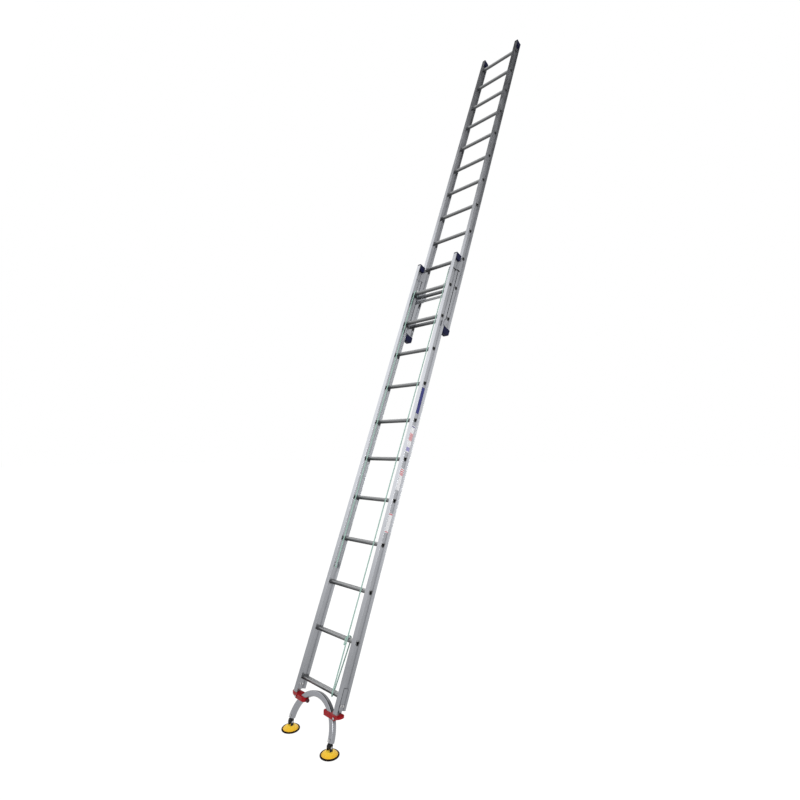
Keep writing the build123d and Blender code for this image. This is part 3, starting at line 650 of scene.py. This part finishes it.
def strand_tree():
    """Three round strands that wind round the line of a rope."""
    sizes = {"Strand Radius": float, "Off Centre": float, "Lay": float, "Step": float}
    tree, given, close = new_tree("laid rope", sizes)
    pen = given["Geometry"]
    line = pen.node("GeometryNodeMeshToCurve", {}, {"Mesh": pen})
    steps = {"Curve": line, "Length": given["Step"]}
    line = pen.node("GeometryNodeResampleCurve", {"mode": "LENGTH"}, steps)
    run = pen.node("GeometryNodeSplineParameter", {}, {}, "Length")
    normal = pen.node("GeometryNodeInputNormal")
    tangent = pen.node("GeometryNodeInputTangent")
    cross = {"operation": "CROSS_PRODUCT"}
    binormal = pen.node("ShaderNodeVectorMath", cross, {0: tangent, 1: normal})
    turns = pen.maths("DIVIDE", run, given["Lay"])
    section = {"Resolution": STRAND_SIDES, "Radius": given["Strand Radius"]}
    ring = pen.node("GeometryNodeCurvePrimitiveCircle", {}, section)
    share = pen.node("GeometryNodeSplineParameter", {}, {}, "Factor")
    mark = {"Geometry": ring, "Name": "around", "Value": share}
    ring = pen.node("GeometryNodeStoreNamedAttribute", {}, mark)
    strands = []
    for number in range(STRANDS):
        angle = (turns + number / STRANDS) * math.tau
        parts = []
        for axis, wave in ((normal, "COSINE"), (binormal, "SINE")):
            stretch = {0: axis, "Scale": pen.maths(wave, angle) * given["Off Centre"]}
            parts.append(pen.node("ShaderNodeVectorMath", {"operation": "SCALE"}, stretch))
        offset = pen.node("ShaderNodeVectorMath", {"operation": "ADD"}, dict(enumerate(parts)))
        moved = pen.node("GeometryNodeSetPosition", {}, {"Geometry": line, "Offset": offset})
        mark = {"Geometry": moved, "Name": "run", "Value": run}
        marked = pen.node("GeometryNodeStoreNamedAttribute", {}, mark)
        sweep = {"Curve": marked, "Profile Curve": ring, "Fill Caps": True}
        strands.append(pen.node("GeometryNodeCurveToMesh", {}, sweep))
    close(pen.node("GeometryNodeJoinGeometry", {}, {"Geometry": strands}))
    return tree


laid_rope = strand_tree()
print(f"{STRANDS} strands of {STRAND_R * 2000:.1f} mm, one turn in {LAY * 1000:.0f} mm")

# %% Rope pieces
SPLINE_ORDER = 3
SPLINE_STEPS = 16


def spline_line(name, stops):
    """The smooth line through a rope's route, as a mesh of points and edges."""
    curve = bpy.data.curves.new(name, "CURVE")
    curve.dimensions = "3D"
    curve.resolution_u = SPLINE_STEPS
    spline = curve.splines.new("NURBS")
    spline.points.add(len(stops) - 1)
    for point, stop in zip(spline.points, stops):
        point.co = (*at(*stop), 1.0)
    spline.order_u = SPLINE_ORDER
    spline.use_endpoint_u = True
    holder = show(name + "_line", curve)
    graph = bpy.context.evaluated_depsgraph_get()
    mesh = bpy.data.meshes.new_from_object(holder.evaluated_get(graph))
    bpy.data.objects.remove(holder)
    return mesh


def lay_strands(name, line, share):
    """Strands along a line, for a rope of the full thickness or a share of it."""
    off_centre = (ROPE_R - STRAND_R) * share
    sizes = {"Strand Radius": STRAND_R * share, "Off Centre": off_centre, "Lay": LAY, "Step": STEP}
    rope = grow(name, line, laid_rope, finishes["rope"], sizes)
    for face in rope.data.polygons:
        face.use_smooth = True
    return rope


def make_rope(name, stops):
    """A laid rope along a route: gives the piece, the points of its middle line and their length."""
    line = spline_line(name, stops)
    path = [vertex.co.copy() for vertex in line.vertices]
    length = sum((b - a).length for a, b in zip(path, path[1:]))
    rope = lay_strands(name, line, 1.0)
    print(f"{name}: {length:.3f} m")
    return rope, path, length


KNOT_R = 0.0058
KNOT_THICK = 0.0062
KNOT_STEPS = 36


def make_knot(name, x, depth, height):
    """An overhand knot: the line of a trefoil, pulled tight, in the rope's own strands."""
    turns = [math.tau * step / KNOT_STEPS for step in range(KNOT_STEPS + 1)]
    stops = [
        (
            x + KNOT_R * (math.sin(t) + 2 * math.sin(2 * t)) / 3,
            depth - KNOT_R * math.sin(3 * t) / 2,
            height + KNOT_R * (math.cos(t) - 2 * math.cos(2 * t)) / 3,
        )
        for t in turns
    ]
    return lay_strands(name, spline_line(name, stops), KNOT_THICK / (2 * ROPE_R))


print("rope makers ready")

# %% [markdown]
# ## Three ropes
#
# The hoist rope comes over the pulley, runs down the climber's side, turns under the lowest rung and
# is hitched over the second one. Its other end goes from the pulley down to the fly's lowest rung: it
# gets longer and shorter as the fly slides, so it is left fixed in the room and only its knot goes with the fly. A
# tie line runs along the left stile from the base's top rung down to an eye.

# %% Hoist rope
PULLEY_X = 0.169
PULLEY_HEIGHT = 3.190
ROPE_BEHIND = 0.024
ROPE_FRONT = -0.024
HITCH_X = 0.118
HITCH_END = (HITCH_X, -0.023, 0.278)
hoist_stops = [
    (PULLEY_X, ROPE_BEHIND, PULLEY_HEIGHT),
    (PULLEY_X, ROPE_BEHIND, 3.214),
    (PULLEY_X, ROPE_FRONT, 3.214),
    (0.1683, ROPE_FRONT, 3.160),
    (0.1285, ROPE_FRONT, 0.034),
    (0.1278, ROPE_FRONT, -0.0205),
    (0.0880, ROPE_BEHIND, -0.0205),
    (0.0929, ROPE_BEHIND, 0.034),
    (0.1139, ROPE_BEHIND, 0.268),
    (HITCH_X, ROPE_BEHIND, 0.314),
    (HITCH_X, 0.013, 0.3305),
    (HITCH_X, -0.020, 0.3215),
    (HITCH_X, -0.0255, 0.307),
    HITCH_END,
]
hoist_rope, hoist_path, hoist_length = make_rope("hoist_rope_laid", hoist_stops)
hoist_knot = make_knot("hoist_rope_knot", *HITCH_END)
for piece in (hoist_rope, hoist_knot):
    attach(piece, "base")
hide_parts("hoist_rope")
at(*hoist_stops[0])

# %% Lifting end
FLY_RUNG_DEPTH = 0.0751
LIFT_KNOT = (PULLEY_X, 0.052, 2.784)
SLING_R = 0.0262
SLING_FROM = math.radians(150)
SLING_TURN = math.radians(330)
SLING_STEPS = 12
sling = [
    (
        PULLEY_X,
        FLY_RUNG_DEPTH + SLING_R * math.cos(turn),
        FLY_RUNG_HEIGHT + SLING_R * math.sin(turn),
    )
    for turn in (SLING_FROM + SLING_TURN * step / SLING_STEPS for step in range(SLING_STEPS + 1))
]
lift_stops = [
    (PULLEY_X, ROPE_BEHIND, PULLEY_HEIGHT),
    (PULLEY_X, ROPE_BEHIND, 3.130),
    (PULLEY_X, 0.0475, 2.842),
    *sling,
]
lift_rope, lift_path, lift_length = make_rope("lift_rope_laid", lift_stops)
lift_knot = make_knot("lift_rope_knot", *LIFT_KNOT)
at(*lift_stops[0])
at(*LIFT_KNOT)
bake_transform(lift_rope)
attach(lift_knot, "fly")
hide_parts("lift_rope")
at(*lift_stops[0])

# %% Tie line
TIE_X = -0.168
TIE_TOP = (TIE_X, 0.023, 3.044)
TIE_END = (TIE_X, -0.023, 0.711)
tie_stops = [
    TIE_TOP,
    (TIE_X, 0.024, 3.059),
    (TIE_X, 0.013, 3.0755),
    (TIE_X, -0.020, 3.0665),
    (TIE_X, -0.0255, 3.052),
    (TIE_X, -0.0255, 2.998),
    TIE_END,
]
tie_rope, tie_path, tie_length = make_rope("tie_rope_laid", tie_stops)
tie_knots = [make_knot("tie_rope_top_knot", *TIE_TOP), make_knot("tie_rope_foot_knot", *TIE_END)]
for piece in (tie_rope, *tie_knots):
    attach(piece, "base")
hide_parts("tie_rope")
at(*TIE_TOP)

# %% [markdown]
# ## Ribs on the treads
#
# Each rung has fine ribs along its tread for grip. Drawing them by hand would repeat the same bar more
# than a hundred times, so a tree lays a row of bars, tilts it like the tread, and repeats the
# row at every rung of a section.

# %% Rib tree
RIB_SIDES = 8


def rib_tree():
    """A row of bars side by side, tilted, and the row repeated up the ladder."""
    sizes = {
        "Ribs": int, "Spacing": float, "Rib Length": float, "Rib Radius": float, "Rise": float,
        "Rows": int, "Row Step": float, "Tilt": Vector, "Shift": Vector, "Turn": Vector, "Place": Vector,
    }
    tree, given, close = new_tree("rows of ribs", sizes)
    pen = given["Geometry"]
    left = pen.node("ShaderNodeCombineXYZ", {}, {"X": given["Rib Length"] * -0.5})
    right = pen.node("ShaderNodeCombineXYZ", {}, {"X": given["Rib Length"] * 0.5})
    line = pen.node("GeometryNodeCurvePrimitiveLine", {}, {"Start": left, "End": right})
    section = {"Resolution": RIB_SIDES, "Radius": given["Rib Radius"]}
    ring = pen.node("GeometryNodeCurvePrimitiveCircle", {}, section)
    sweep = {"Curve": line, "Profile Curve": ring, "Fill Caps": True}
    bar = pen.node("GeometryNodeCurveToMesh", {}, sweep)
    first = (given["Ribs"] - 1) * given["Spacing"] * -0.5
    start = pen.node("ShaderNodeCombineXYZ", {}, {"Y": first, "Z": given["Rise"]})
    step = pen.node("ShaderNodeCombineXYZ", {}, {"Y": given["Spacing"]})
    line_up = {"Count": given["Ribs"], "Start Location": start, "Offset": step}
    spots = pen.node("GeometryNodeMeshLine", {}, line_up)
    row = pen.node("GeometryNodeInstanceOnPoints", {}, {"Points": spots, "Instance": bar})
    tilt = {"Geometry": row, "Rotation": given["Tilt"], "Translation": given["Shift"]}
    row = pen.node("GeometryNodeTransform", {}, tilt)
    climb = pen.node("ShaderNodeCombineXYZ", {}, {"Z": given["Row Step"]})
    rungs = pen.node("GeometryNodeMeshLine", {}, {"Count": given["Rows"], "Offset": climb})
    rows = pen.node("GeometryNodeInstanceOnPoints", {}, {"Points": rungs, "Instance": row})
    put = {"Geometry": rows, "Rotation": given["Turn"], "Translation": given["Place"]}
    close(pen.node("GeometryNodeTransform", {}, put))
    return tree


rib_rows = rib_tree()
print("rib tree ready")

# %% Tread ribs
TREAD_RISE = 0.012
RIBS = 6
RIB_SPACING = 0.0042
RIB_HALF_LENGTH = 0.131
RIB_R = 0.0009
RIB_SUNK = 0.0003


def tread_ribs(name, body, depth, height, rungs):
    """Ribs on every rung of one section."""
    sizes = {
        "Ribs": RIBS, "Spacing": RIB_SPACING, "Rib Length": 2 * RIB_HALF_LENGTH, "Rib Radius": RIB_R,
        "Rise": TREAD_RISE - RIB_SUNK, "Rows": rungs, "Row Step": PITCH, "Tilt": (TREAD_TILT, 0, 0),
        "Shift": (0, RUNG_SHIFT, 0), "Turn": (-LEAN, 0, 0), "Place": at(0, depth, height),
    }
    ribs = grow(name, bpy.data.meshes.new(name), rib_rows, finishes["rung_aluminium"], sizes)
    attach(ribs, body)


tread_ribs("base_tread_ribs", "base", 0.0, 0.0, BASE_RUNGS)
tread_ribs("fly_tread_ribs", "fly", FLY_DEPTH, FLY_RUNG_HEIGHT, FLY_RUNGS)

# %% [markdown]
# ## Rings of ribs
#
# The rubber soles have short upright ribs round their edge, and the knob has a ribbed grip. Both are a
# ring of small bars, so one tree serves both, and its inputs say how many, how large and which way up.

# %% Ring tree
BAR_SIDES = 6


def ring_tree():
    """A ring of small round bars, turned and put in its place."""
    sizes = {
        "Bars": int, "Ring Radius": float, "Bar Radius": float, "Bar Length": float,
        "Turn": Vector, "Place": Vector,
    }
    tree, given, close = new_tree("ring of bars", sizes)
    pen = given["Geometry"]
    bar = pen.node(
        "GeometryNodeMeshCylinder", {},
        {"Vertices": BAR_SIDES, "Radius": given["Bar Radius"], "Depth": given["Bar Length"]},
    )
    spread = {"Vertices": given["Bars"], "Radius": given["Ring Radius"]}
    circle = pen.node("GeometryNodeMeshCircle", {}, spread)
    ring = pen.node("GeometryNodeInstanceOnPoints", {}, {"Points": circle, "Instance": bar})
    put = {"Geometry": ring, "Rotation": given["Turn"], "Translation": given["Place"]}
    close(pen.node("GeometryNodeTransform", {}, put))
    return tree


ring_of_bars = ring_tree()
print("ring tree ready")

# %% Sole ribs and knob grip
SOLE_RIBS = 64
SOLE_RIB_R = 0.0012
SOLE_RIB_LONG = 0.0050
KNOB_RIBS = 16
KNOB_RIB_R = 0.0014
KNOB_RIB_LONG = 0.0075
KNOB_GRIP_IN = 0.0085
SUNK_SHARE = 1 / 3


def ring_piece(name, body, slot, bars, face_r, bar_r, bar_long, turn, place):
    """Bars round a face of a given radius, each sunk into it by a share of its own radius."""
    sizes = {
        "Bars": bars, "Ring Radius": face_r - bar_r * SUNK_SHARE, "Bar Radius": bar_r,
        "Bar Length": bar_long, "Turn": turn, "Place": place,
    }
    ring = grow(name, bpy.data.meshes.new(name), ring_of_bars, finishes[slot], sizes)
    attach(ring, body)


for hand in ("left", "right"):
    low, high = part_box(f"foot_sole_{hand}")
    ring_piece(
        f"sole_ribs_{hand}", f"pad_{hand}", "sole_rubber", SOLE_RIBS, (high.x - low.x) / 2, SOLE_RIB_R,
        SOLE_RIB_LONG, (0, 0, 0), (low + high) / 2,
    )
low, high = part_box("lock_knob")
knob_place = Vector((high.x - KNOB_GRIP_IN, (low.y + high.y) / 2, (low.z + high.z) / 2))
ring_piece(
    "knob_grip", "knob", "knob_red", KNOB_RIBS, (high.y - low.y) / 2, KNOB_RIB_R,
    KNOB_RIB_LONG, (0, math.pi / 2, 0), knob_place,
)

# %% [markdown]
# ## Rivet heads
#
# The pulley's bracket and the eye of the tie line are held by pop rivets. Each is a low dome on a
# surface, so the tree only needs a cloud of points, each with the direction that its head faces.

# %% Rivet tree
RIVET_SEGMENTS = 14
RIVET_RINGS = 8
RIVET_FLAT = 0.42


def rivet_tree():
    """A flattened ball on every point, turned to face the point's own way."""
    tree, given, close = new_tree("rivet heads", {"Head Radius": float})
    pen = given["Geometry"]
    ball = pen.node(
        "GeometryNodeMeshUVSphere", {},
        {"Segments": RIVET_SEGMENTS, "Rings": RIVET_RINGS, "Radius": given["Head Radius"]},
    )
    dome = pen.node("GeometryNodeTransform", {}, {"Geometry": ball, "Scale": (1, 1, RIVET_FLAT)})
    dome = pen.node("GeometryNodeSetShadeSmooth", {}, {"Geometry": dome})
    kind = {"data_type": "FLOAT_VECTOR"}
    facing = pen.node("GeometryNodeInputNamedAttribute", kind, {"Name": "facing"})
    turn = pen.node("FunctionNodeAlignRotationToVector", {"axis": "Z"}, {"Vector": facing})
    put = {"Points": pen, "Instance": dome, "Rotation": turn}
    close(pen.node("GeometryNodeInstanceOnPoints", {}, put))
    return tree


rivet_heads = rivet_tree()


def rivets(name, body, radius, places):
    """Rivet heads at places given as a point and the direction that the head faces."""
    cloud = bpy.data.meshes.new(name)
    cloud.from_pydata([point for point, _ in places], [], [])
    marks = cloud.attributes.new("facing", "FLOAT_VECTOR", "POINT")
    for mark, (_, direction) in zip(marks.data, places):
        mark.vector = direction
    heads = grow(name, cloud, rivet_heads, finishes["steel"], {"Head Radius": radius})
    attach(heads, body)


print("rivet tree ready")

# %% Rivets on the bracket and the eye
STILE_X = 0.202
FLANGE_HALF = 0.0175
RIVET_R = 0.0038
BRACKET_THICK = 0.0030
BRACKET_RIVET_DEPTH = -0.0285
BRACKET_RIVET_HEIGHTS = (3.162, 3.220)
EYE_THICK = 0.0031
EYE_RIVET_DEPTH = -0.023
EYE_RIVET_HEIGHTS = (0.7115, 0.7385)
bracket_face = STILE_X - FLANGE_HALF - BRACKET_THICK
eye_face = -STILE_X + FLANGE_HALF + EYE_THICK
places = [(at(bracket_face, BRACKET_RIVET_DEPTH, z), -ACROSS) for z in BRACKET_RIVET_HEIGHTS]
places += [(at(eye_face, EYE_RIVET_DEPTH, z), ACROSS) for z in EYE_RIVET_HEIGHTS]
rivets("base_rivet_heads", "base", RIVET_R, places)

# %% [markdown]
# ## Blank stickers
#
# Four blank stickers are on the outer face of the right stile, between the rungs, in plain colours
# with plain bands. Each is a thin plate with round corners in the stile's recess. The bands could be
# more plates, but colour is enough, so they are drawn by the height along the stile.

# %% Sticker pieces
WEB_HALF = 0.0015
STICKER_THICK = 0.0003
STICKER_HALF = 0.0185
STICKER_CORNER = 0.003
CORNER_STEPS = 5


def sticker_mesh(name, low, high):
    """A thin plate with round corners on the right stile's web."""
    outline = []
    for quarter, (turn_y, turn_z) in enumerate(((1, 1), (-1, 1), (-1, -1), (1, -1))):
        centre_y = turn_y * (STICKER_HALF - STICKER_CORNER)
        centre_z = (high if turn_z > 0 else low) - turn_z * STICKER_CORNER
        for step in range(CORNER_STEPS):
            turn = math.pi / 2 * (quarter + step / (CORNER_STEPS - 1))
            y = centre_y + STICKER_CORNER * math.cos(turn)
            z = centre_z + STICKER_CORNER * math.sin(turn)
            outline.append((y, z))
    shape = bmesh.new()
    face = shape.faces.new([shape.verts.new(at(STILE_X + WEB_HALF, y, z)) for y, z in outline])
    grown = bmesh.ops.extrude_face_region(shape, geom=[face])
    corners = [item for item in grown["geom"] if isinstance(item, bmesh.types.BMVert)]
    bmesh.ops.translate(shape, verts=corners, vec=ACROSS * STICKER_THICK)
    bmesh.ops.recalc_face_normals(shape, faces=shape.faces)
    mesh = bpy.data.meshes.new(name)
    shape.to_mesh(mesh)
    shape.free()
    return mesh


def sticker_finish(name, ground, bands):
    """Coloured film: a plain ground with plain bands across it, given as low, high and colour."""
    made, pen = sheet_of_paper(name)
    height = ladder_parts(pen).out("Z")
    wear = noise(pen, ladder_place(pen), 90.0, 4.0)
    film = mix(pen, wear, tint(ground, 0.9), tint(ground, 1.04))
    for low, high, colour in bands:
        film = mix(pen, inside(height, low, high), film, (*colour, 1.0))
    surface(pen, {"Base Color": film, "Roughness": between(pen, wear, 0.3, 0.7, 0.28, 0.42)})
    return made


NAVY = (0.012, 0.016, 0.16)
WHITE = (0.80, 0.80, 0.82)
RED = (0.55, 0.03, 0.05)
ROSE = (0.66, 0.34, 0.36)
LILAC = (0.30, 0.28, 0.52)
SECOND_BANDS = [(1.770, 1.778, NAVY), (1.666, 1.724, ROSE), (1.586, 1.616, LILAC)]
THIRD_BANDS = [(1.442, 1.448, RED), (1.428, 1.435, RED), (1.402, 1.424, ROSE)]
LOWER_BANDS = [(1.121, 1.128, RED), (1.002, 1.007, RED)]
stickers = (
    ("sticker_upper", 1.882, 2.096, NAVY, []),
    ("sticker_second", 1.578, 1.784, WHITE, SECOND_BANDS),
    ("sticker_third", 1.296, 1.455, WHITE, THIRD_BANDS),
    ("sticker_lower", 0.999, 1.131, WHITE, LOWER_BANDS),
)
for name, low, high, ground, bands in stickers:
    sticker = show(name, sticker_mesh(name, low, high))
    sticker.data.materials.append(sticker_finish(name, ground, bands))
    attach(sticker, "base")
print(f"{len(stickers)} blank stickers")

# %% [markdown]
# ## Floor and light
#
# The ladder stands on a plain pale floor. The floor shines a little by itself to the camera and to
# reflections, so that it reads as white without more light on the ladder, and it keeps its shadow.

# %% Floor
FLOOR_HALF = 60.0
FLOOR_GLOW = 0.86
FLOOR_GREY = 0.20
floor_mesh = bpy.data.meshes.new("floor")
corners = [(x * FLOOR_HALF, y * FLOOR_HALF, 0) for x, y in ((-1, -1), (1, -1), (1, 1), (-1, 1))]
floor_mesh.from_pydata(corners, [], [(0, 1, 2, 3)])
floor = show("floor", floor_mesh)
floor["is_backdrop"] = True


def floor_finish():
    """Pale where the light falls, and bright by itself to the camera and to reflections."""
    made, pen = sheet_of_paper("floor_white")
    rays = pen.node("ShaderNodeLightPath", {}, {}, "Is Camera Ray")
    seen = pen.maths("MAXIMUM", rays + rays.out("Is Glossy Ray"), rays.out("Is Transmission Ray"))
    matt = pen.node("ShaderNodeBsdfDiffuse", {}, {"Color": tint((1, 1, 1), FLOOR_GREY)})
    glow = pen.node("ShaderNodeEmission", {}, {"Color": (1, 1, 1, 1), "Strength": FLOOR_GLOW})
    bright = pen.node("ShaderNodeAddShader", {}, {0: matt, 1: glow})
    either = pen.node("ShaderNodeMixShader", {}, {0: seen, 1: matt, 2: bright})
    pen.node("ShaderNodeOutputMaterial", {}, {"Surface": either})
    return made


floor.data.materials.append(floor_finish())
print("floor laid")

# %% [markdown]
# ## The room's walls and ceiling
#
# Bare metal shows what stands round it more than it shows its own colour. So the room is drawn with
# care: white walls behind the ladder, a large bright window high on the climber's side, a dim wall to
# the right, and a dark ceiling. The front of the stiles then shines, their sides are grey, and the
# top of the fly gets darker and darker, because it mirrors the ceiling.

# %% Room
WALL_BLUR = (-0.1, 0.1)
RIGHT_BLUR = (0.0, 0.3)
WINDOW_RISE = (0.15, 0.45)
WINDOW_GAIN = (0.05, 0.8)
WINDOW_LOSS_RIGHT = 0.6
CEILING_RISE = (0.75, 0.85, 0.93)
CEILING_DIM = (0.22, 0.15)
RIGHT_WALL_RISE = (0.24, 0.64)
RIGHT_WALL_LIGHT = (1.05, 0.12)

world = bpy.data.worlds.new("room")
world.use_nodes = True
world.node_tree.nodes.clear()
sky = Wire(world.node_tree)
way = sky.node("ShaderNodeTexCoord", out="Generated")
sideways = sky.node("ShaderNodeSeparateXYZ", {}, {"Vector": way}, "X")
upwards = sideways.out("Z")
wall_side = between(sky, sideways.out("Y"), *WALL_BLUR)
right_side = between(sky, sideways, *RIGHT_BLUR)
glass = between(sky, upwards, *WINDOW_RISE, *WINDOW_GAIN)
window = 1 + (1 - wall_side) * (1 - right_side * WINDOW_LOSS_RIGHT) * glass
ceiling_edge = between(sky, upwards, *CEILING_RISE[:2], 1.0, CEILING_DIM[0])
ceiling_middle = between(sky, upwards, *CEILING_RISE[1:], 1.0, CEILING_DIM[1])
room = window * (ceiling_edge * ceiling_middle)
right_wall = between(sky, upwards, *RIGHT_WALL_RISE, *RIGHT_WALL_LIGHT)
strength = room + right_side * wall_side * (right_wall - room)
back = sky.node("ShaderNodeBackground", {}, {"Color": strength, "Strength": 1.0})
sky.node("ShaderNodeOutputWorld", {}, {"Surface": back})
bpy.context.scene.world = world
print("room drawn")

# %% Lamps


def soft_lamp(name, place, target, size, watts):
    """A square soft light aimed at a point."""
    data = bpy.data.lights.new(name, "AREA")
    data.shape = "SQUARE"
    data.size = size
    data.energy = watts
    lamp = bpy.data.objects.new(name, data)
    lamp.location = place
    lamp.rotation_euler = (Vector(target) - Vector(place)).to_track_quat("-Z", "Y").to_euler()
    bpy.context.scene.collection.objects.link(lamp)


soft_lamp("front_light", (4.6, -1.3, 3.4), (0, 0.5, 1.3), 2.0, 140)
soft_lamp("back_light", (-2.5, 4.5, 3.5), (0, 1.2, 2.8), 2.5, 40)
print("two soft lamps")

# %% [markdown]
# ## Sizes
#
# The last cell compares the dressed ladder with the bare solids, and prints by how many millimetres
# the looks stand proud of them. The looks may stand proud of the solids by a few millimetres and no
# more.

# %% Compare the boxes
low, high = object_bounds()
print("grown by", [round(1000 * x, 1) for x in (*(cad_low - low), *(high - cad_high))], "mm")
